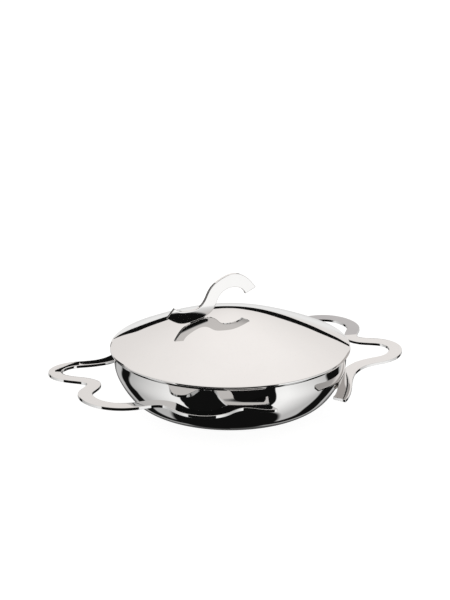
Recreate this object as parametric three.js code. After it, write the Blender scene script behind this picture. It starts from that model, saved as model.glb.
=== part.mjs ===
// Egg pan: a round steel bowl with a bonded base, two wavy flat handles and a
// domed lid with an S-shaped flat knob. Millimetres, +Z up. The origin is on the
// pan's axis at the underside of the base, and +X runs along the handles.
import * as THREE from 'three';

// ---- driving dimensions -------------------------------------------------
const GAP = 0.3;              // clearance between touching pieces
const RIM_Z = 52.0;           // height of the lid's edge above the table
const SEGMENTS = 60;          // facets around a turned piece

const BOWL_SHEET = 1.5;       // sheet thickness of the bowl
const BOWL_FLOOR_R = 66.0;    // radius of the bowl's flat bottom
// outer wall of the bowl: radius, depth below the lid's edge
const BOWL_WALL = [
  [66.0, 47.8], [72.5, 47.3], [78.3, 45.6], [83.6, 42.4], [87.8, 38.3], [92.2, 32.0],
  [95.8, 25.6], [98.35, 19.4], [99.3, 15.6], [99.6, 13.0], [99.7, 11.0], [99.81, 9.0], [99.97, 7.0],
  [100.18, 5.0], [100.44, 3.0], [100.64, 1.5], [100.72, 0.4], [100.72, -0.8],
];
// rounded top of the rim, outside to inside
const BOWL_RIM = [[100.5, -1.15], [100.0, -1.4], [99.5, -1.25]];

const CAP_R = 62.0;           // base cap: outside radius
const CAP_SHEET = 0.9;        // base cap: sheet thickness
const CAP_FOOT_R = 58.0;      // flat ring the pan stands on
const BASE_TOP = RIM_Z - 47.8 - GAP;

const LID_R = 103.0;          // lid: radius of the edge
const LID_SHOULDER = 1.6;     // lid: height at which the dome meets its edge, above RIM_Z
const LID_RISE = 30.15;       // lid: height of the dome above its shoulder
const LID_POWER = 1.517;      // lid: fullness of the dome
const LID_CROWN = 0.06;       // lid: how far its crown is rounded, as a share of the radius
// lid: its turned-down edge, from the dome round to the inside: radius, height above RIM_Z
const LID_HEM = [[102.3, 1.85], [102.85, 1.45], [103.0, 0.95], [103.0, 0.4], [101.55, -1.8], [101.1, -1.6], [101.05, 1.3]];
const LID_SHEET = 1.0;        // lid: sheet thickness

const PLATE_T = 2.5;          // thickness of the handle and knob plates
const STRIP_W = 11.4;         // width of the handle strip
const HANDLE_TILT = 3.892 * Math.PI / 180;  // handles rise outward
const HANDLE_UPHILL = 213.3 * Math.PI / 180; // direction in which the left plate rises
const HANDLE_Z = 31.74;       // height of the plate's top face, carried in to the axis
// centre line of the left handle, seen from above, from its rear end to its front end
const HANDLE_LINE = [
  [-50.3, 100.4], [-57.9, 93.6], [-64.1, 85.6], [-69.8, 77.1], [-75.5, 68.8], [-82.2, 61.2],
  [-90.2, 54.9], [-99.4, 50.8], [-109.4, 49.3], [-119.5, 50.1], [-129.6, 49.6], [-138.5, 44.7],
  [-144.8, 36.9], [-146.9, 27.1], [-142.9, 17.9], [-135.7, 10.7], [-127.8, 4.3], [-124.5, -4.8],
  [-129.4, -13.5], [-136.4, -20.7], [-140.1, -30.1], [-140.1, -40.2], [-136.9, -49.8],
  [-130.8, -57.9], [-122.2, -63.1], [-112.2, -64.8], [-102.1, -64.9], [-92.0, -65.4],
  [-85.4, -72.4], [-82.6, -82.2], [-78.9, -91.6], [-72.0, -98.9], [-62.5, -102.2],
  [-52.3, -100.3], [-42.2, -94.8], [-32.0, -93.7], [-24.2, -98.6], [-18.6, -102.9],
  [-11.4, -105.0],
];
const WELD_R = 1.1;           // radius of a weld bead
const REAR_WELD = [128, 150]; // where the rear weld runs on the left side, degrees about the axis
const FRONT_WELD = [245, 256];

const KNOB_YAW = 0;           // the knob's plane runs along the handles
const KNOB_FOOT = [-23.5, -2.3, RIM_Z + 28.9]; // where the knob's outline is measured from, on its front face
// knob outline in its own plane: along the plate, and up
const KNOB_TOP = [
  [-28.2, 11.3], [-25.3, 8.9], [-21.8, 7.6], [-18.1, 7.3], [-14.2, 7.3], [-10.4, 7.6], [-7.4, 8.5],
  [-5.2, 9.8], [-2.8, 12.2], [-0.8, 15.1], [1.1, 18.8], [3.1, 22.6], [5.6, 25.7], [8.6, 28.2],
  [13.0, 30.9], [17.7, 33.0], [22.3, 34.4], [26.5, 34.7], [31.6, 33.6], [36.3, 31.2], [40.8, 27.5],
  [43.9, 23.9], [46.6, 20.4],
];
const KNOB_UNDER = [
  [36.8, 15.7], [35.4, 18.2], [33.5, 20.3], [30.7, 21.9], [26.9, 22.8], [23.2, 22.9], [19.4, 22.0],
  [15.9, 20.1], [13.1, 17.5], [11.2, 14.4], [9.8, 11.2], [8.5, 8.4], [6.9, 5.8], [4.6, 3.5], [2.0, 1.7],
  [0.0, 0.6], [-5.5, -0.9], [-10.1, -2.0], [-14.7, -2.9], [-19.2, -3.4], [-22.8, -3.1], [-26.6, -1.9],
  [-30.8, 0.4], [-33.5, 2.1], [-35.2, 3.3],
];
const KNOB_WELD_SPAN = [-14, 0];  // stretch of the knob's foot that is welded

// ---- helpers ------------------------------------------------------------
const steel = (color, roughness) => new THREE.MeshStandardMaterial({ color, roughness, metalness: 1.0 });
const rad = (deg) => deg * Math.PI / 180;

// Smooth curve through plan points, sampled evenly.
function smooth(points, count) {
  const curve = new THREE.CatmullRomCurve3(points.map(([x, y]) => new THREE.Vector3(x, y, 0)), false, 'centripetal');
  return curve.getSpacedPoints(count).map((p) => [p.x, p.y]);
}

// Turns every face outward by the sign of the enclosed volume.
function outward(geometry) {
  const g = geometry.index ? geometry.toNonIndexed() : geometry;
  const p = g.attributes.position;
  let volume = 0;
  const a = new THREE.Vector3(), b = new THREE.Vector3(), c = new THREE.Vector3();
  for (let i = 0; i < p.count; i += 3) {
    a.fromBufferAttribute(p, i); b.fromBufferAttribute(p, i + 1); c.fromBufferAttribute(p, i + 2);
    volume += a.dot(b.clone().cross(c));
  }
  if (volume < 0) {
    for (let i = 0; i < p.count; i += 3) {
      b.fromBufferAttribute(p, i + 1); c.fromBufferAttribute(p, i + 2);
      p.setXYZ(i + 1, c.x, c.y, c.z); p.setXYZ(i + 2, b.x, b.y, b.z);
    }
  }
  g.computeVertexNormals();
  return g;
}

// Turned solid from a closed profile of [radius, height], about +Z.
function turned(profile) {
  const g = new THREE.LatheGeometry(profile.map(([r, z]) => new THREE.Vector2(Math.max(r, 0), z)), SEGMENTS);
  g.rotateX(Math.PI / 2);
  return outward(g);
}

// Flat plate from a closed outline, between heights low and high.
function plate(outline, low, high) {
  const g = new THREE.ExtrudeGeometry(new THREE.Shape(outline.map(([x, y]) => new THREE.Vector2(x, y))),
    { depth: high - low, bevelEnabled: false, steps: 1 });
  g.translate(0, 0, low);
  return outward(g);
}

// Round bead along a path of points.
function bead(points, radius) {
  const ring = [];
  for (let i = 0; i < 8; i += 1) ring.push(new THREE.Vector2(radius * Math.cos(rad(45 * i)), radius * Math.sin(rad(45 * i))));
  const path = new THREE.CatmullRomCurve3(points, false, 'centripetal');
  return outward(new THREE.ExtrudeGeometry(new THREE.Shape(ring), { steps: 12, bevelEnabled: false, extrudePath: path }));
}

function node(name, geometry, material) {
  const mesh = new THREE.Mesh(geometry, material);
  mesh.name = name;
  return mesh;
}

// ---- bowl ---------------------------------------------------------------
const wall = smooth(BOWL_WALL, 22).map(([r, depth]) => [r, RIM_Z - depth]);

// Outside radius of the bowl at a height above the table.
function wallRadius(z) {
  for (let i = 1; i < wall.length; i += 1) {
    const [r0, z0] = wall[i - 1], [r1, z1] = wall[i];
    if (z <= z1) return r0 + (r1 - r0) * Math.max(0, (z - z0) / (z1 - z0));
  }
  return wall[wall.length - 1][0];
}

function bowlProfile() {
  const inner = [];
  for (let i = wall.length - 2; i >= 1; i -= 1) {
    const tx = wall[i + 1][0] - wall[i - 1][0], tz = wall[i + 1][1] - wall[i - 1][1];
    const len = Math.hypot(tx, tz);
    inner.push([wall[i][0] - BOWL_SHEET * tz / len, wall[i][1] + BOWL_SHEET * tx / len]);
  }
  const floorOut = RIM_Z - BOWL_WALL[0][1], floorIn = floorOut + BOWL_SHEET;
  return [[0, floorOut], ...wall, ...BOWL_RIM.map(([r, d]) => [r, RIM_Z - d]), ...inner,
    [BOWL_FLOOR_R - 0.4, floorIn], [0, floorIn]];
}

const pan = new THREE.Group();
pan.add(node('pan_shell', turned(bowlProfile()), steel(0xc9c7c4, 0.08)));

// Bonded base: a disc of aluminium held in a shallow steel cap.
pan.add(node('base_core', turned([[0, CAP_SHEET + GAP], [CAP_R - CAP_SHEET - GAP - 0.8, CAP_SHEET + GAP],
  [CAP_R - CAP_SHEET - GAP, CAP_SHEET + GAP + 0.8], [CAP_R - CAP_SHEET - GAP, BASE_TOP], [0, BASE_TOP]]),
new THREE.MeshStandardMaterial({ color: 0xb4b6b8, roughness: 0.45, metalness: 1.0 })));
pan.add(node('base_cap', turned([[0, 0], [CAP_FOOT_R, 0], [CAP_R - 1.4, 0.45], [CAP_R - 0.35, 1.4], [CAP_R, 2.4], [CAP_R, BASE_TOP],
  [CAP_R - CAP_SHEET, BASE_TOP], [CAP_R - CAP_SHEET, CAP_SHEET + 0.8], [CAP_R - CAP_SHEET - 0.8, CAP_SHEET], [0, CAP_SHEET]]),
steel(0xb9b7b4, 0.3)));

// ---- handles ------------------------------------------------------------
const uphill = [Math.cos(HANDLE_UPHILL), Math.sin(HANDLE_UPHILL)];
const plateTop = (x, y) => HANDLE_Z + Math.tan(HANDLE_TILT) * (x * uphill[0] + y * uphill[1]);

// Outline of the left handle seen from above; its inner edge follows the wall where it meets it.
function handleOutline() {
  const line = smooth(HANDLE_LINE, 84);
  const outer = [], inner = [];
  line.forEach(([x, y], i) => {
    const a = line[Math.max(0, i - 1)], b = line[Math.min(line.length - 1, i + 1)];
    const len = Math.hypot(b[0] - a[0], b[1] - a[1]);
    const nx = -(b[1] - a[1]) / len, ny = (b[0] - a[0]) / len;
    outer.push([x - nx * STRIP_W / 2, y - ny * STRIP_W / 2]);
    let p = [x + nx * STRIP_W / 2, y + ny * STRIP_W / 2];
    const r = Math.hypot(p[0], p[1]), least = wallRadius(plateTop(p[0], p[1])) + GAP + 0.1;
    if (r < least) p = [p[0] * least / r, p[1] * least / r];
    inner.push(p);
  });
  return [...outer, ...inner.reverse()];
}

// From the plan to the plate's own plane, whose first axis points uphill.
const toPlate = ([x, y]) => [(x * uphill[0] + y * uphill[1]) / Math.cos(HANDLE_TILT), -x * uphill[1] + y * uphill[0]];

function handle(name) {
  const tilted = new THREE.Group();
  tilted.rotation.y = -HANDLE_TILT;
  tilted.position.z = HANDLE_Z;
  tilted.add(node(name, plate(handleOutline().map(toPlate), -PLATE_T, 0), steel(0xd2d0cd, 0.1)));
  const aimed = new THREE.Group();
  aimed.rotation.z = HANDLE_UPHILL;
  aimed.add(tilted);
  return aimed;
}

// Weld bead in the corner under a handle plate, along the wall.
function handleWeld(name, [from, to]) {
  const points = [];
  for (let i = 0; i <= 8; i += 1) {
    const angle = rad(from + (to - from) * i / 8);
    let r = 100, z = 30;
    for (let k = 0; k < 6; k += 1) {
      z = plateTop(r * Math.cos(angle), r * Math.sin(angle)) - PLATE_T - GAP - WELD_R - 0.1;
      r = wallRadius(z + WELD_R) + GAP + WELD_R + 0.05;
    }
    points.push(new THREE.Vector3(r * Math.cos(angle), r * Math.sin(angle), z));
  }
  return node(name, bead(points, WELD_R), steel(0xa9a7a4, 0.4));
}

const leftSide = new THREE.Group();
leftSide.add(handle('handle_left'), handleWeld('weld_left_rear', REAR_WELD), handleWeld('weld_left_front', FRONT_WELD));
const rightSide = new THREE.Group();
rightSide.rotation.z = Math.PI;
rightSide.add(handle('handle_right'), handleWeld('weld_right_front', REAR_WELD), handleWeld('weld_right_rear', FRONT_WELD));
pan.add(leftSide, rightSide);

// ---- lid ----------------------------------------------------------------
// Share of the rise lost at a share of the radius: a round crown and a nearly straight flank.
const crown = (x) => (x * x + LID_CROWN ** 2) ** (LID_POWER / 2);
const fall = (x) => (crown(x) - crown(0)) / (crown(1) - crown(0));
const domeTop = (r) => RIM_Z + LID_SHOULDER + LID_RISE * (1 - fall(r / LID_R));
const domeSlope = (r) => (domeTop(Math.max(0, r - 0.01)) - domeTop(r + 0.01)) / (r > 0 ? 0.02 : Infinity);

// Sheet dome with a turned-down hem, which reaches over the bowl's rim.
function lidProfile() {
  const radii = [0, 7, 16, 29, 45, 61, 75, 86, 94, 99];
  const top = radii.map((r) => [r, domeTop(r)]);
  const under = radii.map((r) => {
    const s = domeSlope(r), len = Math.hypot(1, s);
    return [r - LID_SHEET * s / len, domeTop(r) - LID_SHEET / len];
  });
  return [...top, ...LID_HEM.map(([r, z]) => [r, RIM_Z + z]), ...under.reverse()];
}

const lid = new THREE.Group();
lid.add(node('lid_shell', turned(lidProfile()), steel(0xcfccc8, 0.1)));

// Height of the dome under the knob's front face, at a distance along it.
const along = [Math.cos(KNOB_YAW), Math.sin(KNOB_YAW)];
const knobPlan = (s, back) => [KNOB_FOOT[0] + s * along[0] - back * along[1], KNOB_FOOT[1] + s * along[1] + back * along[0]];
function domeUnderKnob(s) {
  const heights = [0, PLATE_T].map((back) => domeTop(Math.hypot(...knobPlan(s, back))));
  return Math.max(...heights) - KNOB_FOOT[2];
}

function knobOutline() {
  const under = smooth(KNOB_UNDER, 46).map(([s, t]) => [s, Math.max(t, domeUnderKnob(s) + GAP)]);
  return [...smooth(KNOB_TOP, 42), ...under];
}

// The plate stands upright: its outline is drawn flat, then turned up on its edge.
const upright = new THREE.Group();
upright.rotation.x = Math.PI / 2;
upright.add(node('lid_knob', plate(knobOutline(), -PLATE_T, 0), steel(0xd6d4d1, 0.08)));
const knob = new THREE.Group();
knob.position.set(...KNOB_FOOT);
knob.rotation.z = KNOB_YAW;
knob.add(upright);
lid.add(knob);

// Weld bead behind the knob's foot.
const footPath = [];
for (let i = 0; i <= 8; i += 1) {
  const s = KNOB_WELD_SPAN[0] + (KNOB_WELD_SPAN[1] - KNOB_WELD_SPAN[0]) * i / 8;
  const back = PLATE_T + GAP + WELD_R + 0.05;
  const [x, y] = knobPlan(s, back);
  const top = Math.max(...[back - WELD_R, back, back + WELD_R].map((b) => domeTop(Math.hypot(...knobPlan(s, b)))));
  footPath.push(new THREE.Vector3(x, y, top + GAP + WELD_R + 0.05));
}
lid.add(node('knob_weld', bead(footPath, WELD_R), steel(0xa9a7a4, 0.4)));

const eggPan = new THREE.Group();
eggPan.add(pan, lid);
export default eggPan;
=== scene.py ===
"""Looks of the egg pan: polished steel bowl, bonded base, wavy plate handles, domed lid and S-shaped plate knob.
Lengths below are millimetres in the part's own frame (axis +Z, table at z = 0), and meshes are built in metres."""
import math

import bpy
import numpy as np
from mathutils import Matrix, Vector


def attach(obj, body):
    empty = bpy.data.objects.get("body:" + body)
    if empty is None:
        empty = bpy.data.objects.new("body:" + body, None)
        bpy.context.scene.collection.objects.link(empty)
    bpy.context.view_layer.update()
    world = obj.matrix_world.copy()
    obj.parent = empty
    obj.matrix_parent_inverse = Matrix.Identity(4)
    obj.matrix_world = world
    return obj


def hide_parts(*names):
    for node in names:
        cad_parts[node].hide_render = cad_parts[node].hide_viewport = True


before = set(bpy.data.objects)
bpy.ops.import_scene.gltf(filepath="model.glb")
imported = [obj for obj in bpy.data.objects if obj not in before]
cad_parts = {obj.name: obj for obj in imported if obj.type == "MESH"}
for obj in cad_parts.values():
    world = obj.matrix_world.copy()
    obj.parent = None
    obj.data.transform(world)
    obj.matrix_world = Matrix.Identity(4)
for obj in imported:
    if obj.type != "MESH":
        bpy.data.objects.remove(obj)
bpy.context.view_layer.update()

MM = 0.001

# ---- dimensions of the part ----------------------------------------------
RIM_Z = 52.0
BOWL_SHEET = 1.5
BOWL_WALL = [
    (54.0, 47.8), (58.0, 47.8), (62.0, 47.8), (66.0, 47.8), (72.5, 47.3), (78.3, 45.6), (83.6, 42.4), (87.8, 38.3),
    (92.2, 32.0), (95.8, 25.6), (98.35, 19.4), (99.3, 15.6), (99.6, 13.0), (99.7, 11.0), (99.81, 9.0), (99.97, 7.0),
    (100.18, 5.0), (100.44, 3.0), (100.64, 1.5), (100.72, 0.4), (100.72, -0.8),
]
CAP_R, CAP_SHEET, CAP_FOOT_R, BASE_TOP = 62.0, 0.9, 58.0, 3.9

LID_R, LID_SHOULDER, LID_RISE, LID_SHEET = 103.0, 1.6, 30.15, 1.0
LID_POWER, LID_CROWN = 1.517, 0.06
LID_HEM = [(101.05, 53.6), (101.05, 50.4), (101.5, 50.15), (103.0, 52.45), (103.0, 53.55)]  # turned-down edge: radius, height

PLATE_T, STRIP_W = 2.5, 11.4
HANDLE_TILT, HANDLE_UPHILL, HANDLE_Z = math.radians(3.892), math.radians(213.3), 31.74
HANDLE_LINE = [
    (-50.3, 100.4), (-57.9, 93.6), (-64.1, 85.6), (-69.8, 77.1), (-75.5, 68.8), (-82.2, 61.2), (-90.2, 54.9), (-99.4, 50.8),
    (-109.4, 49.3), (-119.5, 50.1), (-129.6, 49.6), (-138.5, 44.7), (-144.8, 36.9), (-146.9, 27.1), (-142.9, 17.9), (-135.7, 10.7),
    (-127.8, 4.3), (-124.5, -4.8), (-129.4, -13.5), (-136.4, -20.7), (-140.1, -30.1), (-140.1, -40.2), (-136.9, -49.8), (-130.8, -57.9),
    (-122.2, -63.1), (-112.2, -64.8), (-102.1, -64.9), (-92.0, -65.4), (-85.4, -72.4), (-82.6, -82.2), (-78.9, -91.6), (-72.0, -98.9),
    (-62.5, -102.2), (-52.3, -100.3), (-42.2, -94.8), (-32.0, -93.7), (-24.2, -98.6), (-18.6, -102.9), (-11.4, -105.0),
]
WELD_R = 1.1
REAR_WELD, FRONT_WELD = (128.0, 150.0), (245.0, 256.0)

KNOB_YAW = 0.0
KNOB_FOOT = (-23.5, -2.3, RIM_Z + 28.9)
KNOB_TOP = [
    (-28.2, 11.3), (-25.3, 8.9), (-21.8, 7.6), (-18.1, 7.3), (-14.2, 7.3), (-10.4, 7.6), (-7.4, 8.5), (-5.2, 9.8), (-2.8, 12.2),
    (-0.8, 15.1), (1.1, 18.8), (3.1, 22.6), (5.6, 25.7), (8.6, 28.2), (13.0, 30.9), (17.7, 33.0), (22.3, 34.4), (26.5, 34.7),
    (31.6, 33.6), (36.3, 31.2), (40.8, 27.5), (43.9, 23.9), (46.6, 20.4),
]
KNOB_UNDER = [
    (36.8, 15.7), (35.4, 18.2), (33.5, 20.3), (30.7, 21.9), (26.9, 22.8), (23.2, 22.9), (19.4, 22.0), (15.9, 20.1), (13.1, 17.5),
    (11.2, 14.4), (9.8, 11.2), (8.5, 8.4), (6.9, 5.8), (4.6, 3.5), (2.0, 1.7), (0.0, 0.6), (-5.5, -0.9), (-10.1, -2.0), (-14.7, -2.9),
    (-19.2, -3.4), (-22.8, -3.1), (-26.6, -1.9), (-30.8, 0.4), (-33.5, 2.1), (-35.2, 3.3),
]
KNOB_WELD_SPAN = (-14.0, 0.0)
CROWN_W, CROWN_TILT = 1.5, math.radians(3.5)  # how far in, and how much, polishing rounds the plates' faces

# camera: where it stands round the part, and its picture
VIEW_TURN = math.radians(25.0)  # the photograph's view, turned from the part's own front
CAMERA_ELEVATION, CAMERA_DISTANCE = 0.34304, 930.26
FOCAL_PX, CENTRE_PX = 1080.21, (230.18, 344.50)
PICTURE = (450.0, 600.0)


# ---- curves ---------------------------------------------------------------
def basis(count, t, degree=3):
    """Weights of a clamped even B-spline with count control points, at each t in 0..1."""
    knots = np.concatenate([np.zeros(degree), np.linspace(0, 1, count - degree + 1), np.ones(degree)])
    t = np.clip(np.asarray(t, float), 0, 1 - 1e-9)
    n = np.array([(knots[i] <= t) & (t < knots[i + 1]) for i in range(len(knots) - 1)], float)
    for d in range(1, degree + 1):
        rows = []
        for i in range(len(knots) - 1 - d):
            a, b = knots[i + d] - knots[i], knots[i + d + 1] - knots[i + 1]
            row = np.zeros(len(t))
            if a > 0:
                row = row + (t - knots[i]) / a * n[i]
            if b > 0:
                row = row + (knots[i + d + 1] - t) / b * n[i + 1]
            rows.append(row)
        n = np.array(rows)
    return n.T


def fair(points, count, stiff, samples):
    """A fair curve near the points, through both ends, sampled evenly along its length."""
    p = np.array(points, float)
    u = np.concatenate([[0], np.cumsum(np.linalg.norm(np.diff(p, axis=0), axis=1))])
    u /= u[-1]
    a = basis(count, u)
    w = np.ones(len(p))
    w[0] = w[-1] = 1e3
    d = np.diff(np.eye(count), 3, axis=0)
    c = np.linalg.solve(a.T @ (w[:, None] * a) + stiff * d.T @ d, a.T @ (w[:, None] * p))
    q = basis(count, np.linspace(0, 1, samples * 4)) @ c
    s = np.concatenate([[0], np.cumsum(np.linalg.norm(np.diff(q, axis=0), axis=1))])
    at = np.linspace(0, s[-1], samples)
    return np.stack([np.interp(at, s, q[:, k]) for k in range(2)], -1)


def arc(centre, radius, start, end, steps):
    a = np.radians(np.linspace(start, end, steps))
    return np.stack([centre[0] + radius * np.cos(a), centre[1] + radius * np.sin(a)], -1)


# ---- meshes ---------------------------------------------------------------
def make(name, verts, faces, normals, marks=None):
    """A smooth mesh with its own vertex normals. Marks are named numbers kept on the vertices."""
    mesh = bpy.data.meshes.new(name)
    mesh.from_pydata((np.asarray(verts, float) * MM).tolist(), [], faces)
    mesh.shade_smooth()
    for key, values in (marks or {}).items():
        mesh.attributes.new(key, "FLOAT", "POINT").data.foreach_set("value", np.asarray(values, np.float32))
    normals = np.asarray(normals, float)
    normals = normals / np.linalg.norm(normals, axis=1)[:, None]
    mesh.normals_split_custom_set_from_vertices(normals.tolist())
    obj = bpy.data.objects.new(name, mesh)
    bpy.context.scene.collection.objects.link(obj)
    return obj


def lathe(name, profile, segments, inside=None):
    """Turned solid. The profile runs from axis to axis with the material on its left."""
    p = np.asarray(profile, float)
    keep = np.concatenate([[True], np.linalg.norm(np.diff(p, axis=0), axis=1) > 1e-5])
    p = p[keep]
    mark = np.zeros(len(p)) if inside is None else np.asarray(inside, float)[keep]
    # tangents weighted by the neighbouring steps, so that flats next to rounds stay flat
    d = np.diff(p, axis=0)
    length = np.linalg.norm(d, axis=1)
    unit = d / length[:, None]
    t = np.empty_like(p)
    t[1:-1] = unit[:-1] / length[:-1, None] + unit[1:] / length[1:, None]
    t[0], t[-1] = unit[0], unit[-1]
    n2 = np.stack([t[:, 1], -t[:, 0]], -1)
    n2 /= np.linalg.norm(n2, axis=1)[:, None]
    n2[0], n2[-1] = (0, np.sign(n2[0, 1])), (0, np.sign(n2[-1, 1]))
    a = np.arange(segments) * 2 * math.pi / segments
    ca, sa = np.cos(a), np.sin(a)
    verts, normals, marks = [(0, 0, p[0, 1])], [(0, 0, n2[0, 1])], [mark[0]]
    for (r, z), (nr, nz), m in zip(p[1:-1], n2[1:-1], mark[1:-1]):
        verts.extend(np.stack([r * ca, r * sa, np.full(segments, z)], -1).tolist())
        normals.extend(np.stack([nr * ca, nr * sa, np.full(segments, nz)], -1).tolist())
        marks.extend([m] * segments)
    verts.append((0, 0, p[-1, 1]))
    normals.append((0, 0, n2[-1, 1]))
    marks.append(mark[-1])
    rings = len(p) - 2
    faces = [(0, 1 + (j + 1) % segments, 1 + j) for j in range(segments)]
    for i in range(rings - 1):
        b = 1 + i * segments
        for j in range(segments):
            k = (j + 1) % segments
            faces.append((b + j, b + k, b + segments + k, b + segments + j))
    b, last = 1 + (rings - 1) * segments, len(verts) - 1
    faces += [(b + j, b + (j + 1) % segments, last) for j in range(segments)]
    return make(name, verts, faces, normals, {"inside": marks})


def plate_outline(side_a, side_b, corner):
    """Closed outline of a strip from its two long sides (both running the same way), with small rounded corners.
    Returns the points in order and how many belong to each side."""
    a, b = np.asarray(side_a, float), np.asarray(side_b, float)

    def rounded(p0, p, p1):
        u, v = p0 - p, p1 - p
        u, v = u / np.linalg.norm(u), v / np.linalg.norm(v)
        half = math.acos(np.clip(u @ v, -1, 1)) / 2
        cut = corner / math.tan(half)
        c = p + (u + v) / np.linalg.norm(u + v) * corner / math.sin(half)
        s, e = p + u * cut - c, p + v * cut - c
        out = []
        for k in range(5):
            w = k / 4
            q = s * (1 - w) + e * w
            out.append(c + q / np.linalg.norm(q) * corner)
        return np.array(out)

    end0 = rounded(b[2], b[0], a[0]), rounded(b[0], a[0], a[2])
    end1 = rounded(a[-3], a[-1], b[-1]), rounded(a[-1], b[-1], b[-3])
    trim = 2
    body_a, body_b = a[trim:-trim], b[trim:-trim][::-1]
    ring = np.vstack([end0[1], body_a, end1[0], end1[1], body_b, end0[0]])
    return ring, len(body_a), len(body_b)


def ring_normals(ring):
    d = np.roll(ring, -1, axis=0) - ring
    length = np.linalg.norm(d, axis=1)
    unit = d / np.maximum(length, 1e-9)[:, None]
    t = unit / np.maximum(length, 1e-3)[:, None] + np.roll(unit / np.maximum(length, 1e-3)[:, None], 1, axis=0)
    t /= np.linalg.norm(t, axis=1)[:, None]
    n = np.stack([t[:, 1], -t[:, 0]], -1)
    x, y = ring[:, 0], ring[:, 1]
    area = np.sum(x * np.roll(y, -1) - np.roll(x, -1) * y)
    return n if area > 0 else -n, area > 0


def plate(name, side_a, side_b, thickness, bevel, place, corner=0.5):
    """Flat plate between two long sides, from local height 0 down to -thickness, with rounded edges.
    place maps local points to the part's frame (and turns normals when asked)."""
    ring, na, nb = plate_outline(side_a, side_b, corner)
    n2, ccw = ring_normals(ring)
    if not ccw:
        ring, n2 = ring[::-1], n2[::-1]
        na, nb = nb, na
    count = len(ring)
    a0 = 5
    a1 = a0 + na - 1
    b0 = a1 + 1 + 10
    b1 = b0 + nb - 1
    at_corner = np.ones(count, bool)
    at_corner[a0:a1 + 1] = at_corner[b0:b1 + 1] = False
    # across the edge: the faces are dubbed over by polishing, then a small round turns into the cut side
    levels = []  # inset, height, tilt of the normal
    lean = 0.0
    drop = 0.0
    last = CROWN_W
    levels.append((CROWN_W, 0.0, math.pi / 2))
    for inset in np.linspace(CROWN_W, bevel, 7)[1:]:
        lean = CROWN_TILT * (1 - (inset - bevel) / (CROWN_W - bevel)) ** 2
        drop += (last - inset) * math.tan(CROWN_TILT * (1 - ((inset + last) / 2 - bevel) / (CROWN_W - bevel)) ** 2)
        last = inset
        levels.append((float(inset), -drop, math.pi / 2 - lean))
    for k in range(1, 5):
        a = (math.pi / 2 - lean) * (1 - k / 4)
        levels.append((bevel * (1 - math.cos(a) / math.cos(0.0)), -drop - bevel * (math.sin(math.pi / 2 - lean) - math.sin(a)), a))
    levels += [(inset, -thickness - height, -t) for inset, height, t in reversed(levels)]
    verts, normals, marks = [], [], []
    for inset, height, t in levels:
        p = ring - n2 * np.where(at_corner, min(inset, corner * 0.9), inset)[:, None]
        verts.append(np.column_stack([p, np.full(count, height)]))
        normals.append(np.column_stack([n2 * math.cos(t), np.full(count, math.sin(t))]))
        marks.append(np.full(count, math.cos(t)))
    verts, normals, marks = np.vstack(verts), np.vstack(normals), np.concatenate(marks)
    faces = []
    for i in range(len(levels) - 1):
        for j in range(count):
            k = (j + 1) % count
            faces.append((i * count + j, (i + 1) * count + j, (i + 1) * count + k, i * count + k))
    # caps: a strip of triangles between the two long sides, with one many-sided face at each end
    top, bottom = 0, (len(levels) - 1) * count
    left, right = list(range(a0, a1 + 1)), list(range(b1, b0 - 1, -1))
    flat = verts[:count, :2]
    caps, i, j = [], 0, 0
    while i < len(left) - 1 or j < len(right) - 1:
        if i == len(left) - 1:
            ahead = False
        elif j == len(right) - 1:
            ahead = True
        else:
            ahead = np.linalg.norm(flat[left[i + 1]] - flat[right[j]]) <= np.linalg.norm(flat[left[i]] - flat[right[j + 1]])
        if ahead:
            caps.append((left[i], left[i + 1], right[j]))
            i += 1
        else:
            caps.append((left[i], right[j + 1], right[j]))
            j += 1
    caps.append(tuple(range(a1, b0 + 1)))
    caps.append(tuple(list(range(b1, count)) + list(range(0, a0 + 1))))
    for f in caps:
        faces.append(tuple(top + v for v in f))
        faces.append(tuple(bottom + v for v in reversed(f)))
    return make(name, place(verts), faces, place(normals, True), {"edge": marks})


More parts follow.
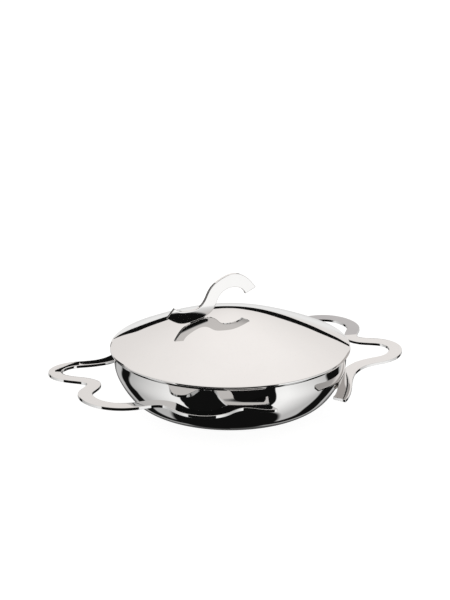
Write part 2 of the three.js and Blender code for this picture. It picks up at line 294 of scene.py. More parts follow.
def bead(name, path, radius, squash, pitch, up, uneven=1.0):
    """A weld bead along a path: a rounded, slightly flattened rope with cooling ripples and tapered ends."""
    path = np.asarray(path, float)
    s = np.concatenate([[0], np.cumsum(np.linalg.norm(np.diff(path, axis=0), axis=1))])
    n = max(40, int(s[-1] / 0.18))
    at = np.linspace(0, s[-1], n)
    p = np.stack([np.interp(at, s, path[:, k]) for k in range(3)], -1)
    tangent = np.gradient(p, axis=0)
    tangent /= np.linalg.norm(tangent, axis=1)[:, None]
    up = np.asarray(up, float)
    side = np.cross(tangent, up)
    side /= np.linalg.norm(side, axis=1)[:, None]
    rise = np.cross(side, tangent)
    ends = np.minimum(at, s[-1] - at)
    taper = np.sqrt(np.clip(1 - (1 - np.clip(ends / (1.3 * radius), 0, 1)) ** 2, 0.02, 1))
    ripple = 1 + uneven * (0.07 * np.cos(2 * math.pi * at / pitch) + 0.03 * np.sin(2 * math.pi * at / (pitch * 3.7) + 1))
    size = radius * taper * np.minimum(ripple, 1.08) / 1.08
    sides = 20
    a = np.arange(sides) * 2 * math.pi / sides
    verts = []
    for i in range(n):
        ring = p[i] + size[i] * (np.cos(a)[:, None] * side[i] + squash * np.sin(a)[:, None] * rise[i])
        verts.extend(ring.tolist())
    faces = []
    for i in range(n - 1):
        for j in range(sides):
            k = (j + 1) % sides
            faces.append((i * sides + j, i * sides + k, (i + 1) * sides + k, (i + 1) * sides + j))
    faces.append(tuple(reversed(range(sides))))
    faces.append(tuple((n - 1) * sides + j for j in range(sides)))
    mesh = bpy.data.meshes.new(name)
    mesh.from_pydata((np.asarray(verts) * MM).tolist(), [], faces)
    mesh.shade_smooth()
    obj = bpy.data.objects.new(name, mesh)
    bpy.context.scene.collection.objects.link(obj)
    import bmesh
    bm = bmesh.new()
    bm.from_mesh(mesh)
    bmesh.ops.recalc_face_normals(bm, faces=bm.faces)
    bm.to_mesh(mesh)
    bm.free()
    return obj


# ---- node helpers ---------------------------------------------------------
class Nodes:
    """Small helper to write node trees as sums and products."""

    def __init__(self, tree):
        self.tree = tree
        tree.nodes.clear()

    def new(self, kind, **settings):
        node = self.tree.nodes.new(kind)
        for key, value in settings.items():
            setattr(node, key, value)
        return node

    def join(self, value, socket):
        if hasattr(value, "is_output"):
            self.tree.links.new(value, socket)
        else:
            socket.default_value = value

    def math(self, operation, a, b=None, c=None, clamp=False):
        node = self.new("ShaderNodeMath", operation=operation, use_clamp=clamp)
        for i, value in enumerate((a, b, c)):
            if value is not None:
                self.join(value, node.inputs[i])
        return node.outputs[0]

    def add(self, a, b):
        return self.math("ADD", a, b)

    def sub(self, a, b):
        return self.math("SUBTRACT", a, b)

    def mul(self, a, b):
        return self.math("MULTIPLY", a, b)

    def step(self, x, low, high, out_low=0.0, out_high=1.0):
        """Smooth step of x from low to high. low and high may be sockets."""
        node = self.new("ShaderNodeMapRange", interpolation_type="SMOOTHSTEP", clamp=True)
        for key, value in (("Value", x), ("From Min", low), ("From Max", high), ("To Min", out_low), ("To Max", out_high)):
            self.join(value, node.inputs[key])
        return node.outputs[0]

    def ramp(self, x, low, high, out_low=0.0, out_high=1.0):
        node = self.new("ShaderNodeMapRange", interpolation_type="LINEAR", clamp=True)
        for key, value in (("Value", x), ("From Min", low), ("From Max", high), ("To Min", out_low), ("To Max", out_high)):
            self.join(value, node.inputs[key])
        return node.outputs[0]

    def between(self, x, low, high, soft):
        """1 between low and high, falling to 0 over soft at both ends."""
        a = self.step(x, self.sub(low, soft / 2), self.add(low, soft / 2))
        b = self.step(x, self.sub(high, soft / 2), self.add(high, soft / 2))
        return self.mul(a, self.sub(1.0, b))

    def blend(self, share, a, b):
        """a where share is 0, b where it is 1."""
        return self.math("MULTIPLY_ADD", share, self.sub(b, a), a)

    def tint(self, share, a, b):
        node = self.new("ShaderNodeMix", data_type="RGBA")
        self.join(share, node.inputs["Factor"])
        for key, value in ((6, a), (7, b)):
            if hasattr(value, "is_output"):
                self.tree.links.new(value, node.inputs[key])
            else:
                node.inputs[key].default_value = (*value, 1.0)
        return node.outputs[2]

    def noise(self, vector, scale, detail=2.0, roughness=0.5, dimensions="3D"):
        node = self.new("ShaderNodeTexNoise", noise_dimensions=dimensions)
        self.join(vector, node.inputs["Vector"])
        node.inputs["Scale"].default_value = scale
        node.inputs["Detail"].default_value = detail
        node.inputs["Roughness"].default_value = roughness
        return node.outputs["Fac"]

    def vector(self, x, y, z):
        node = self.new("ShaderNodeCombineXYZ")
        for i, value in enumerate((x, y, z)):
            self.join(value, node.inputs[i])
        return node.outputs[0]

    def mark(self, name):
        return self.new("ShaderNodeAttribute", attribute_name=name).outputs["Fac"]


# ---- materials ------------------------------------------------------------
def steel(name, base, deep, rough, streak_rough, lay, streak_bump, inside=None, edge=None, smudge=0.012, wave=0.0):
    """Worked steel. lay is how the polishing runs: 'turned' round the axis, or 'flat' along the plate.
    inside and edge give the roughness of the satin inside and of the cut edges."""
    material = bpy.data.materials.new(name)
    material.use_nodes = True
    g = Nodes(material.node_tree)
    out = g.new("ShaderNodeOutputMaterial")
    shader = g.new("ShaderNodeBsdfPrincipled")
    g.tree.links.new(shader.outputs[0], out.inputs[0])
    shader.inputs["Metallic"].default_value = 1.0
    where = g.new("ShaderNodeTexCoord").outputs["Object"]
    xyz = g.new("ShaderNodeSeparateXYZ")
    g.tree.links.new(where, xyz.inputs[0])
    x, y, z = xyz.outputs
    radius = g.math("SQRT", g.add(g.mul(x, x), g.mul(y, y)))
    turn = g.math("ARCTAN2", y, x)
    if lay == "turned":
        fine = g.noise(g.vector(g.mul(radius, 5200.0), g.mul(turn, 5.0), g.mul(z, 5200.0)), 1.0, 2.0, 0.6)
        coarse = g.noise(g.vector(g.mul(radius, 900.0), g.mul(turn, 1.6), g.mul(z, 900.0)), 1.0, 3.0, 0.55)
    else:
        fine = g.noise(g.vector(g.mul(x, 700.0), g.mul(y, 4200.0), g.mul(z, 4200.0)), 1.0, 2.0, 0.6)
        coarse = g.noise(g.vector(g.mul(x, 160.0), g.mul(y, 800.0), g.mul(z, 800.0)), 1.0, 3.0, 0.55)
    cloud = g.noise(where, 22.0, 3.0, 0.55)
    speck = g.noise(where, 420.0, 2.0, 0.6)
    # colour: steel that shifts a little from place to place
    shift = g.add(g.mul(cloud, 0.75), g.mul(speck, 0.25))
    colour = g.tint(g.ramp(shift, 0.3, 0.7), deep, base)
    # roughness: a mirror polish with faint streaks and wiped patches
    streak = g.add(g.mul(fine, 0.55), g.mul(coarse, 0.45))
    value = g.add(rough, g.add(g.ramp(streak, 0.35, 0.75, 0.0, streak_rough), g.ramp(cloud, 0.45, 0.75, 0.0, smudge)))
    height = g.mul(streak, streak_bump)
    if wave:
        height = g.add(height, g.mul(g.noise(where, 45.0, 1.0, 0.4), wave))
    if inside is not None:
        m = g.mark("inside")
        satin = g.add(inside, g.ramp(streak, 0.3, 0.8, -0.05, 0.09))
        value = g.blend(m, value, satin)
        height = g.mul(height, g.blend(m, 1.0, 9.0))
    if edge is not None:
        m = g.step(g.mark("edge"), 0.85, 0.99)
        # cut edges: fine striations across the sheet
        cut = g.noise(g.vector(g.mul(x, 3800.0), g.mul(y, 3800.0), g.mul(z, 300.0)), 1.0, 2.0, 0.6)
        value = g.blend(m, value, g.add(edge, g.ramp(cut, 0.3, 0.75, -0.015, 0.03)))
        height = g.blend(m, height, g.mul(cut, streak_bump * 5.0))
    g.tree.links.new(colour, shader.inputs["Base Color"])
    g.tree.links.new(value, shader.inputs["Roughness"])
    bump = g.new("ShaderNodeBump")
    bump.inputs["Strength"].default_value = 1.0
    bump.inputs["Distance"].default_value = 0.001
    g.tree.links.new(height, bump.inputs["Height"])
    g.tree.links.new(bump.outputs[0], shader.inputs["Normal"])
    return material


STEEL, STEEL_DEEP = (0.835, 0.832, 0.828), (0.805, 0.801, 0.797)
bowl_steel = steel("Mirror steel, bowl", STEEL, STEEL_DEEP, 0.012, 0.014, "turned", 0.00003, inside=0.2, smudge=0.006)
lid_steel = steel("Mirror steel, lid", (0.808, 0.808, 0.806), (0.780, 0.779, 0.777), 0.014, 0.014, "turned", 0.00003, inside=0.17, smudge=0.006)
plate_steel = steel("Mirror steel, knob", STEEL, STEEL_DEEP, 0.014, 0.014, "flat", 0.00003, edge=0.045, smudge=0.006)
handle_steel = steel("Mirror steel, handles", (0.764, 0.764, 0.763), (0.738, 0.738, 0.736), 0.014, 0.014, "flat", 0.00003, edge=0.045, smudge=0.006)
base_steel = steel("Turned steel, base", (0.70, 0.695, 0.685), (0.62, 0.615, 0.605), 0.22, 0.14, "turned", 0.0012)
core_metal = steel("Turned aluminium, core", (0.80, 0.81, 0.82), (0.70, 0.71, 0.72), 0.34, 0.14, "turned", 0.0012)


def weld_metal():
    """Bead steel: satin, uneven, with a trace of straw and blue heat colour along its length."""
    material = bpy.data.materials.new("Weld bead steel")
    material.use_nodes = True
    g = Nodes(material.node_tree)
    out = g.new("ShaderNodeOutputMaterial")
    shader = g.new("ShaderNodeBsdfPrincipled")
    g.tree.links.new(shader.outputs[0], out.inputs[0])
    shader.inputs["Metallic"].default_value = 1.0
    where = g.new("ShaderNodeTexCoord").outputs["Object"]
    cloud = g.noise(where, 260.0, 3.0, 0.6)
    grain = g.noise(where, 2600.0, 2.0, 0.6)
    straw = g.tint(g.ramp(cloud, 0.35, 0.6), (0.64, 0.63, 0.62), (0.66, 0.60, 0.52))
    colour = g.tint(g.ramp(cloud, 0.62, 0.75), straw, (0.50, 0.52, 0.58))
    g.tree.links.new(colour, shader.inputs["Base Color"])
    g.tree.links.new(g.ramp(grain, 0.25, 0.8, 0.22, 0.42), shader.inputs["Roughness"])
    bump = g.new("ShaderNodeBump")
    bump.inputs["Strength"].default_value = 0.5
    bump.inputs["Distance"].default_value = 0.0001
    g.tree.links.new(grain, bump.inputs["Height"])
    g.tree.links.new(bump.outputs[0], shader.inputs["Normal"])
    return material


weld_steel = weld_metal()


def dress(obj, material, body, slot, *nodes):
    obj.data.materials.append(material)
    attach(obj, body)
    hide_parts(*nodes)
    return obj


# ---- bowl -----------------------------------------------------------------
wall = fair(BOWL_WALL, 22, 0.003, 220) * (1, -1) + (0, RIM_Z)


def wall_radius(z):
    return np.interp(z, wall[:, 1], wall[:, 0])


def bowl_profile():
    t = np.gradient(wall, axis=0)
    t /= np.linalg.norm(t, axis=1)[:, None]
    inner = (wall + np.stack([-t[:, 1], t[:, 0]], -1) * BOWL_SHEET)[::-1]
    middle = (wall[-1] + inner[0]) / 2
    start = math.degrees(math.atan2(*(wall[-1] - middle)[::-1]))
    rim = arc(middle, BOWL_SHEET / 2, start, start + 180, 13)[1:-1]
    low, high = wall[0][1], inner[-1][1]
    flat = np.linspace(0, wall[0][0], 14)[:-1]
    outer_floor = np.stack([flat, np.full(len(flat), low)], -1)
    inner_floor = np.stack([flat[::-1], np.full(len(flat), high)], -1)
    profile = np.vstack([outer_floor, wall, rim, inner, inner_floor])
    inside = np.concatenate([np.zeros(len(outer_floor) + len(wall)), np.linspace(0, 1, len(rim)), np.ones(len(inner) + len(inner_floor))])
    return profile, inside


profile, inside = bowl_profile()
dress(lathe("pan_bowl", profile, 360, inside), bowl_steel, "pan", "polished_steel", "pan_shell")


# ---- bonded base ----------------------------------------------------------
def groove(r, depth=0.16, width=1.0):
    """A shallow turned groove in the underside."""
    return [(r - width, 0.0), (r - width * 0.5, depth * 0.75), (r, depth), (r + width * 0.5, depth * 0.75), (r + width, 0.0)]


def base_profile():
    points = [(0, 0.12), (5.5, 0.12), (6.3, 0.03), (7.0, 0.0)]
    for r in (16.0, 26.0, 36.0, 46.0):
        points += [(r - 4.0, 0.0)] + groove(r)
    points += [(52.0, 0.0), (CAP_FOOT_R - 1.5, 0.0), (CAP_FOOT_R, 0.02)]
    points += list(map(tuple, arc((CAP_R - 2.2, 2.2), 2.2, -80, 0, 14)))
    points += [(CAP_R, 2.8), (CAP_R, BASE_TOP - 0.35)]
    points += list(map(tuple, arc((CAP_R - CAP_SHEET / 2, BASE_TOP - CAP_SHEET / 2), CAP_SHEET / 2, 0, 180, 9)))
    points += [(CAP_R - CAP_SHEET, 2.4)]
    points += list(map(tuple, arc((CAP_R - CAP_SHEET - 1.1, CAP_SHEET + 1.1), 1.1, 0, -90, 9)))
    points += [(50.0, CAP_SHEET), (25.0, CAP_SHEET), (0, CAP_SHEET)]
    return points


dress(lathe("base_plate", base_profile(), 240), base_steel, "pan", "base_steel", "base_cap")


def core_profile():
    r, low = CAP_R - CAP_SHEET - 0.3, CAP_SHEET + 0.3
    points = [(0, low), (20, low), (40, low), (r - 1.2, low)]
    points += list(map(tuple, arc((r - 0.8, low + 0.8), 0.8, -80, 0, 8)))
    points += [(r, BASE_TOP - 0.4)]
    points += list(map(tuple, arc((r - 0.3, BASE_TOP - 0.3), 0.3, 0, 80, 6)))
    points += [(r - 0.8, BASE_TOP), (40, BASE_TOP), (20, BASE_TOP), (0, BASE_TOP)]
    return points


dress(lathe("heat_core", core_profile(), 240), core_metal, "pan", "base_aluminium", "base_core")

# ---- handles --------------------------------------------------------------
UP = np.array([math.cos(HANDLE_UPHILL), math.sin(HANDLE_UPHILL)])


def plate_top(p):
    return HANDLE_Z + math.tan(HANDLE_TILT) * (np.asarray(p) @ UP)


def handle_sides():
    line = fair(HANDLE_LINE, 34, 0.004, 620)
    t = np.gradient(line, axis=0)
    t /= np.linalg.norm(t, axis=1)[:, None]
    n = np.stack([-t[:, 1], t[:, 0]], -1)
    outer, inner = line - n * STRIP_W / 2, line + n * STRIP_W / 2
    r = np.linalg.norm(inner, axis=1)
    least = wall_radius(plate_top(inner)) + 0.06
    soft = 0.12
    gap = (r - least) / soft
    kept = least + soft * np.where(gap > 30, gap, np.log1p(np.exp(np.minimum(gap, 30))))
    inner = inner * (kept / r)[:, None]

    def flat(p):  # plan to the plate's own plane
        return np.stack([(p @ UP) / math.cos(HANDLE_TILT), -p[:, 0] * UP[1] + p[:, 1] * UP[0]], -1)

    return flat(outer), flat(inner)


def handle_place(half_turn):
    c, s = math.cos(HANDLE_TILT), math.sin(HANDLE_TILT)
    sign = -1.0 if half_turn else 1.0

    def place(p, direction=False):
        x, y, z = np.asarray(p, float).T
        x, z = x * c - z * s, x * s + z * c
        if not direction:
            z = z + HANDLE_Z
        return np.stack([sign * (x * UP[0] - y * UP[1]), sign * (x * UP[1] + y * UP[0]), z], -1)

    return place


side_a, side_b = handle_sides()
dress(plate("left_handle", side_a, side_b, PLATE_T, 0.3, handle_place(False)), handle_steel, "pan", "handle_steel", "handle_left")
dress(plate("right_handle", side_a, side_b, PLATE_T, 0.3, handle_place(True)), handle_steel, "pan", "handle_steel", "handle_right")


def weld_path(span, half_turn):
    points = []
    for angle in np.radians(np.linspace(span[0], span[1], 30)):
        d = np.array([math.cos(angle), math.sin(angle)])
        r, z = 100.0, 30.0
        for _ in range(8):
            z = plate_top(d * r) - PLATE_T - WELD_R * 0.55
            r = wall_radius(z + WELD_R * 0.3) + WELD_R * 0.55
        sign = -1.0 if half_turn else 1.0
        points.append((sign * r * d[0], sign * r * d[1], z))
    return points


for name, span, half in (("left_rear", REAR_WELD, False), ("left_front", FRONT_WELD, False), ("right_front", REAR_WELD, True), ("right_rear", FRONT_WELD, True)):
    dress(bead("weld_bead_" + name, weld_path(span, half), WELD_R, 0.85, 1.3, (0, 0, 1)), weld_steel, "pan", "weld_steel", "weld_" + name)


# ---- lid ------------------------------------------------------------------
def dome(r):
    t = np.abs(np.asarray(r, float)) / LID_R
    crown = [(v * v + LID_CROWN ** 2) ** (LID_POWER / 2) for v in (t, 0.0, 1.0)]
    return RIM_Z + LID_SHOULDER + LID_RISE * (1 - (crown[0] - crown[1]) / (crown[2] - crown[1]))


def softened(points, radii, steps=9):
    """A bent line with its inner corners rounded."""
    p = np.array(points, float)
    out = [p[:1]]
    for i in range(1, len(p) - 1):
        u, v = p[i - 1] - p[i], p[i + 1] - p[i]
        u, v = u / np.linalg.norm(u), v / np.linalg.norm(v)
        half = math.acos(np.clip(u @ v, -1, 1)) / 2
        c = p[i] + (u + v) / np.linalg.norm(u + v) * radii[i - 1] / math.sin(half)
        s, e = p[i] + u * radii[i - 1] / math.tan(half) - c, p[i] + v * radii[i - 1] / math.tan(half) - c
        w = np.linspace(0, 1, steps)[:, None]
        q = s * (1 - w) + e * w
        out.append(c + q / np.linalg.norm(q, axis=1)[:, None] * radii[i - 1])
    return np.vstack(out + [p[-1:]])


def lid_profile():
    """The dome, ending in a small turned-down hem that reaches over the bowl's rim."""
    end = LID_R - 1.2
    r = np.concatenate([np.linspace(0, 1, 60) ** 1.3 * (end - 8), end - 8 + np.linspace(0, 1, 30)[1:] * 8])
    top = np.stack([r, dome(r)], -1)
    t = np.gradient(top, axis=0)
    t[0] = (1, 0)
    t /= np.linalg.norm(t, axis=1)[:, None]
    under = top + np.stack([t[:, 1], -t[:, 0]], -1) * LID_SHEET
    under[0, 0] = 0
    under = under[under[:, 0] < LID_HEM[0][0] - 0.5]
    hem = softened([tuple(under[-1])] + LID_HEM + [tuple(top[-1])], (0.15, 0.2, 0.25, 0.4, 0.7))[1:-1]
    profile = np.vstack([under, hem, top[::-1]])
    inside = np.concatenate([np.ones(len(under)), np.clip(2.5 - np.arange(len(hem)) / 9, 0, 1), np.zeros(len(top))])
    return profile, inside


profile, inside = lid_profile()
dress(lathe("lid_dome", profile, 360, inside), lid_steel, "lid", "lid_steel", "lid_shell")


# ---- knob -----------------------------------------------------------------
KX, KY = np.array([math.cos(KNOB_YAW), math.sin(KNOB_YAW)]), np.array([-math.sin(KNOB_YAW), math.cos(KNOB_YAW)])


def knob_place(p, direction=False):
    s, t, c = np.asarray(p, float).T
    plan = s[:, None] * KX - c[:, None] * KY
    if not direction:
        plan = plan + np.array(KNOB_FOOT[:2])
        t = t + KNOB_FOOT[2]
    return np.column_stack([plan, t])


def dome_under(s):
    """Height of the dome under the plate at s along it, on the plate's own scale."""
    best = None
    for back in (0.0, PLATE_T):
        p = np.array(KNOB_FOOT[:2]) + s[:, None] * KX + back * KY
        h = dome(np.linalg.norm(p, axis=1)) - KNOB_FOOT[2]
        best = h if best is None else np.maximum(best, h)
    return best


upper = fair(KNOB_TOP, 20, 0.002, 260)
lower = fair(KNOB_UNDER, 22, 0.002, 260)
rest = dome_under(lower[:, 0]) + 0.06
lower[:, 1] = rest + 0.12 * np.logaddexp(0.0, (lower[:, 1] - rest) / 0.12)  # runs smoothly onto the dome
dress(plate("knob_plate", upper, lower[::-1], PLATE_T, 0.42, knob_place), plate_steel, "lid", "knob_steel", "lid_knob")


def knob_weld_path():
    s = np.linspace(KNOB_WELD_SPAN[0], KNOB_WELD_SPAN[1], 40)
    back = PLATE_T + WELD_R * 0.55
    plan = np.array(KNOB_FOOT[:2]) + s[:, None] * KX + back * KY
    return np.column_stack([plan, dome(np.linalg.norm(plan, axis=1)) + WELD_R * 0.6])


dress(bead("weld_bead_knob", knob_weld_path(), WELD_R, 0.85, 1.3, (0, 0, 1), 0.08), plate_steel, "lid", "weld_steel", "knob_weld")

# ---- studio ---------------------------------------------------------------
scene = bpy.context.scene
scene.view_settings.view_transform = "Standard"
scene.view_settings.look = "None"

floor_mesh = bpy.data.meshes.new("studio_floor")
steps = 96
floor_mesh.from_pydata([(0, 0, -0.0002)] + [(20 * math.cos(2 * math.pi * i / steps), 20 * math.sin(2 * math.pi * i / steps), -0.0002) for i in range(steps)], [],
                       [(0, 1 + i, 1 + (i + 1) % steps) for i in range(steps)])
floor = bpy.data.objects.new("studio_floor", floor_mesh)
scene.collection.objects.link(floor)
floor.visible_glossy = False


def floor_material():
    material = bpy.data.materials.new("Pale floor")
    material.use_nodes = True
    g = Nodes(material.node_tree)
    out = g.new("ShaderNodeOutputMaterial")
    glow = g.new("ShaderNodeEmission")
    glow.inputs["Strength"].default_value = 0.94
    matt = g.new("ShaderNodeBsdfDiffuse")
    matt.inputs["Color"].default_value = (0.2, 0.2, 0.2, 1)
    both = g.new("ShaderNodeAddShader")
    g.tree.links.new(glow.outputs[0], both.inputs[0])
    g.tree.links.new(matt.outputs[0], both.inputs[1])
    # seen from below, the floor is clear
    clear = g.new("ShaderNodeBsdfTransparent")
    side = g.new("ShaderNodeNewGeometry").outputs["Backfacing"]
    pick = g.new("ShaderNodeMixShader")
    g.tree.links.new(side, pick.inputs[0])
    g.tree.links.new(both.outputs[0], pick.inputs[1])
    g.tree.links.new(clear.outputs[0], pick.inputs[2])
    g.tree.links.new(pick.outputs[0], out.inputs[0])
    return material


floor_mesh.materials.append(floor_material())


def studio_light():
    """A light tent over the table: bright overhead, a dark gap at its lower edge, bright side panels that end in dark
    flags, a dark front and a pale back. It is all around the part and stays where it is."""
    world = bpy.data.worlds.new("Light tent")
    scene.world = world
    world.use_nodes = True
    g = Nodes(world.node_tree)
    out = g.new("ShaderNodeOutputWorld")
    xyz = g.new("ShaderNodeSeparateXYZ")
    g.tree.links.new(g.new("ShaderNodeTexCoord").outputs["Generated"], xyz.inputs[0])
    x, y, z = xyz.outputs
    c, s = math.cos(VIEW_TURN), math.sin(VIEW_TURN)
    right = g.sub(g.mul(x, c), g.mul(y, s))
    away = g.add(g.mul(x, s), g.mul(y, c))
    deg = 180 / math.pi
    az = g.mul(g.math("ARCTAN2", right, g.mul(away, -1.0)), deg)  # 0 towards the front, + to the right
    side = g.math("ABSOLUTE", az)
    behind = g.mul(g.math("ARCTAN2", right, away), deg)  # 0 straight behind, + to the right
    el = g.mul(g.math("ARCSINE", z), deg)
    on_left = g.math("LESS_THAN", az, 0.0)

    # overhead: brightest behind and above, a little less all round
    hot = (math.sin(math.radians(172)) * math.cos(math.radians(55)), -math.cos(math.radians(172)) * math.cos(math.radians(55)), math.sin(math.radians(55)))
    near = g.add(g.add(g.mul(right, hot[0]), g.mul(away, hot[1])), g.mul(z, hot[2]))
    off = g.mul(g.math("ARCCOSINE", g.math("MINIMUM", near, 0.99999)), deg)
    ratio = g.math("DIVIDE", off, 45.0)
    glow = g.math("EXPONENT", g.mul(g.mul(ratio, ratio), -1.0))
    overhead = g.add(0.77, g.mul(glow, 0.33))
    dim = g.mul(g.mul(g.step(az, 44.0, 54.0), g.sub(1.0, g.step(az, 118.0, 134.0))), g.sub(1.0, g.step(el, 34.0, 46.0)))
    overhead = g.mul(overhead, g.sub(1.0, g.mul(dim, 0.42)))

    # where the dark front, the side panels, the dark gaps behind them and the pale back begin, as turns from the front
    inner_right = g.add(g.sub(43.5, g.mul(g.math("MAXIMUM", el, -48.0), 0.11)), g.ramp(el, -48.0, -63.0, 0.0, 22.0))
    inner_left = g.add(51.0, g.ramp(el, -40.0, -60.0, 0.0, 8.0))
    inner = g.blend(on_left, inner_right, inner_left)
    outer = g.blend(on_left, g.add(112.0, g.ramp(el, -34.0, -54.0, 0.0, 20.0)), g.add(119.0, g.ramp(el, -36.0, -50.0, 0.0, 15.0)))
    back_from = g.add(137.0, g.blend(on_left, g.ramp(el, -23.0, -42.0, 0.0, 15.0), g.add(g.ramp(el, -28.0, -40.0, 0.0, 15.0), g.ramp(el, 12.0, 26.0, 0.0, 11.0))))
    past_front = g.step(side, g.sub(inner, 0.7), g.add(inner, 0.7))
    panel = g.mul(past_front, g.sub(1.0, g.step(side, g.sub(outer, 2.5), g.add(outer, 2.5))))
    back = g.step(side, g.sub(back_from, 2.5), g.add(back_from, 2.5))

    # panels fade away from the front, and the back is dimmer further down
    fall = g.mul(g.ramp(side, 60.0, 114.0, 1.0, 0.52), g.blend(on_left, 1.03, 0.98))
    lift = g.ramp(el, -40.0, -20.0, 0.0, g.blend(on_left, 0.10, 0.03))
    ease = g.step(el, -14.0, -2.0, 1.0, 0.78)
    panel_light = g.mul(panel, g.mul(g.add(fall, lift), ease))
    under_back = g.mul(g.step(side, 150.0, 164.0), g.sub(1.0, g.step(el, -20.0, -13.0)))
    back_light = g.mul(g.mul(back, g.ramp(el, -22.0, -4.0, 0.55, 0.9)), g.sub(1.0, g.mul(under_back, 0.85)))
    foot = g.step(g.add(el, g.blend(on_left, 0.0, -5.0)), -66.0, -63.0)
    low = g.mul(g.add(panel_light, back_light), foot)

    # the overhead cloth hangs lower at the sides and the back than in front
    gap_top = g.blend(on_left, 12.0, 33.0)
    hang = g.blend(panel, g.blend(back, g.blend(past_front, 35.5, gap_top), 3.0), 6.0)
    soft = g.blend(panel, g.blend(back, 1.0, 4.0), 10.0)
    above = g.step(el, g.sub(hang, soft), g.add(hang, soft))
    value = g.add(g.blend(above, low, overhead), 0.006)
    warm = g.tint(above, (1.0, 0.996, 0.99), (1.0, 0.958, 0.932))
    scaled = g.new("ShaderNodeMix", data_type="RGBA", blend_type="MULTIPLY")
    scaled.inputs["Factor"].default_value = 1.0
    g.tree.links.new(warm, scaled.inputs[6])
    g.tree.links.new(value, scaled.inputs[7])
    lit = g.new("ShaderNodeBackground")
    g.tree.links.new(scaled.outputs[2], lit.inputs["Color"])
    plain = g.new("ShaderNodeBackground")
    plain.inputs["Color"].default_value = (1, 1, 1, 1)
    pick = g.new("ShaderNodeMixShader")
    g.tree.links.new(g.new("ShaderNodeLightPath").outputs["Is Camera Ray"], pick.inputs[0])
    g.tree.links.new(lit.outputs[0], pick.inputs[1])
    g.tree.links.new(plain.outputs[0], pick.inputs[2])
    g.tree.links.new(pick.outputs[0], out.inputs[0])


studio_light()


def flag(name, colour, away, top, low, reach):
    """A strip of cloth that hangs behind the part and shows only in its mirror faces. Points are in the view's own turn:
    to the right of the axis, and up from the table."""
    x = np.linspace(reach[0], reach[1], 241)
    c, s = math.cos(VIEW_TURN), math.sin(VIEW_TURN)
    verts = []
    for line in (top, low):
        z = np.interp(x, *np.array(line, float).T)
        z = np.convolve(np.pad(z, 3, mode="edge"), np.ones(7) / 7, mode="valid")
        verts += [((u * c + away * s) * MM, (-u * s + away * c) * MM, v * MM) for u, v in zip(x, z)]
    n = len(x)
    mesh = bpy.data.meshes.new(name)
    mesh.from_pydata(verts, [], [(i, i + 1, n + i + 1, n + i) for i in range(n - 1)])
    cloth = bpy.data.objects.new(name, mesh)
    scene.collection.objects.link(cloth)
    material = bpy.data.materials.new(name.replace("_", " "))
    material.use_nodes = True
    g = Nodes(material.node_tree)
    out = g.new("ShaderNodeOutputMaterial")
    glow = g.new("ShaderNodeEmission")
    weave = g.noise(g.new("ShaderNodeTexCoord").outputs["Object"], 900.0)
    g.tree.links.new(g.tint(weave, tuple(0.95 * v for v in colour), tuple(1.05 * v for v in colour)), glow.inputs["Color"])
    g.tree.links.new(glow.outputs[0], out.inputs[0])
    mesh.materials.append(material)
    cloth.visible_camera = cloth.visible_diffuse = cloth.visible_shadow = False


flag("dark_flag", (0.006, 0.006, 0.006), 300.0,
     [(-192, 82), (-184, 86), (-179, 90), (-175, 102), (-170, 116), (-150, 118), (-132, 123), (-60, 132), (-19, 139), (16, 144), (45, 153), (78, 154), (107, 158), (127, 155), (151, 149), (176, 146), (190, 140), (204, 133), (225, 128)],
     [(-192, 80), (-184, 76), (-172, 68), (-158, 68), (-140, 74), (-114, 78), (-60, 82), (-13, 87), (23, 92), (64, 96), (100, 103), (127, 109), (147, 109), (168, 112), (190, 110), (206, 114), (225, 114)], (-191, 225))
flag("dark_flag_end", (0.006, 0.006, 0.006), 130.0, [(-170, 82), (-160, 81.5), (-146.5, 75)], [(-170, 80.5), (-163, 77), (-155, 73), (-146.5, 69)], (-170, -146.5))

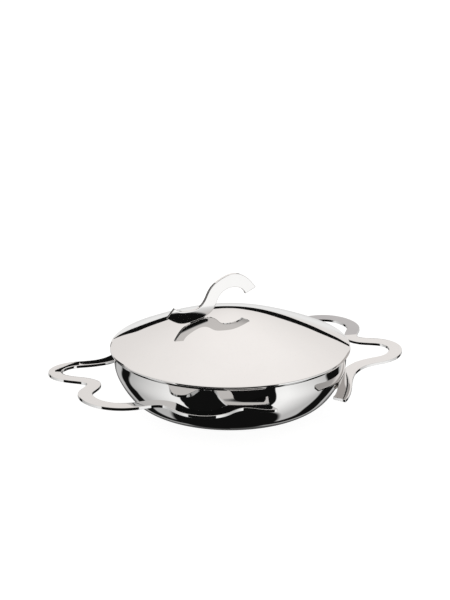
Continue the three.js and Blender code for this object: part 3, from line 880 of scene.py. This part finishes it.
def grey_card(name, corners, light):
    """A small grey card near the right handle, seen from one side only and only in mirror faces. Corners are in the view's
    own turn: to the right of the axis, away, and up from the table."""
    c, s = math.cos(VIEW_TURN), math.sin(VIEW_TURN)
    mesh = bpy.data.meshes.new(name)
    mesh.from_pydata([((u * c + v * s) * MM, (-u * s + v * c) * MM, h * MM) for u, v, h in corners], [], [(0, 1, 2, 3)])
    card = bpy.data.objects.new(name, mesh)
    scene.collection.objects.link(card)
    material = bpy.data.materials.new(name.replace("_", " "))
    material.use_nodes = True
    g = Nodes(material.node_tree)
    out = g.new("ShaderNodeOutputMaterial")
    glow = g.new("ShaderNodeEmission")
    grain = g.noise(g.new("ShaderNodeTexCoord").outputs["Object"], 60.0)
    g.tree.links.new(g.tint(grain, tuple(0.96 * v for v in light), tuple(1.04 * v for v in light)), glow.inputs["Color"])
    pick = g.new("ShaderNodeMixShader")
    g.tree.links.new(g.new("ShaderNodeNewGeometry").outputs["Backfacing"], pick.inputs[0])
    g.tree.links.new(glow.outputs[0], pick.inputs[1])
    g.tree.links.new(g.new("ShaderNodeBsdfTransparent").outputs[0], pick.inputs[2])
    g.tree.links.new(pick.outputs[0], out.inputs[0])
    mesh.materials.append(material)
    card.visible_camera = card.visible_diffuse = card.visible_shadow = False


grey_card("grey_card_over_lobe", [(74, 102.5, 59), (74, 176, 59), (134, 176, 59), (134, 102.5, 59)], (0.64, 0.615, 0.612))
grey_card("grey_card_by_lid_front", [(98, -50, 43), (98, -50, 66), (110, -14, 71), (110, -14, 43)], (0.51, 0.475, 0.455))
grey_card("grey_card_by_lid_rear", [(110, -14, 43), (110, -14, 71), (122, 24, 73), (122, 24, 50)], (0.51, 0.475, 0.455))

# ---- camera ---------------------------------------------------------------
camera_data = bpy.data.cameras.new("camera")
camera = bpy.data.objects.new("camera", camera_data)
scene.collection.objects.link(camera)
aim = Vector((0, 0, RIM_Z * MM))
flat = CAMERA_DISTANCE * MM * math.cos(CAMERA_ELEVATION)
camera.location = aim + Vector((-flat * math.sin(VIEW_TURN), -flat * math.cos(VIEW_TURN), CAMERA_DISTANCE * MM * math.sin(CAMERA_ELEVATION)))
camera.rotation_mode = "QUATERNION"
camera.rotation_quaternion = (aim - camera.location).to_track_quat("-Z", "Y")
camera_data.sensor_width = 36.0
camera_data.lens = FOCAL_PX * 36.0 / PICTURE[1]
camera_data.shift_x = -(CENTRE_PX[0] - PICTURE[0] / 2) / PICTURE[1]
camera_data.shift_y = (CENTRE_PX[1] - PICTURE[1] / 2) / PICTURE[1]
camera_data.clip_start, camera_data.clip_end = 0.01, 100.0
scene.camera = camera
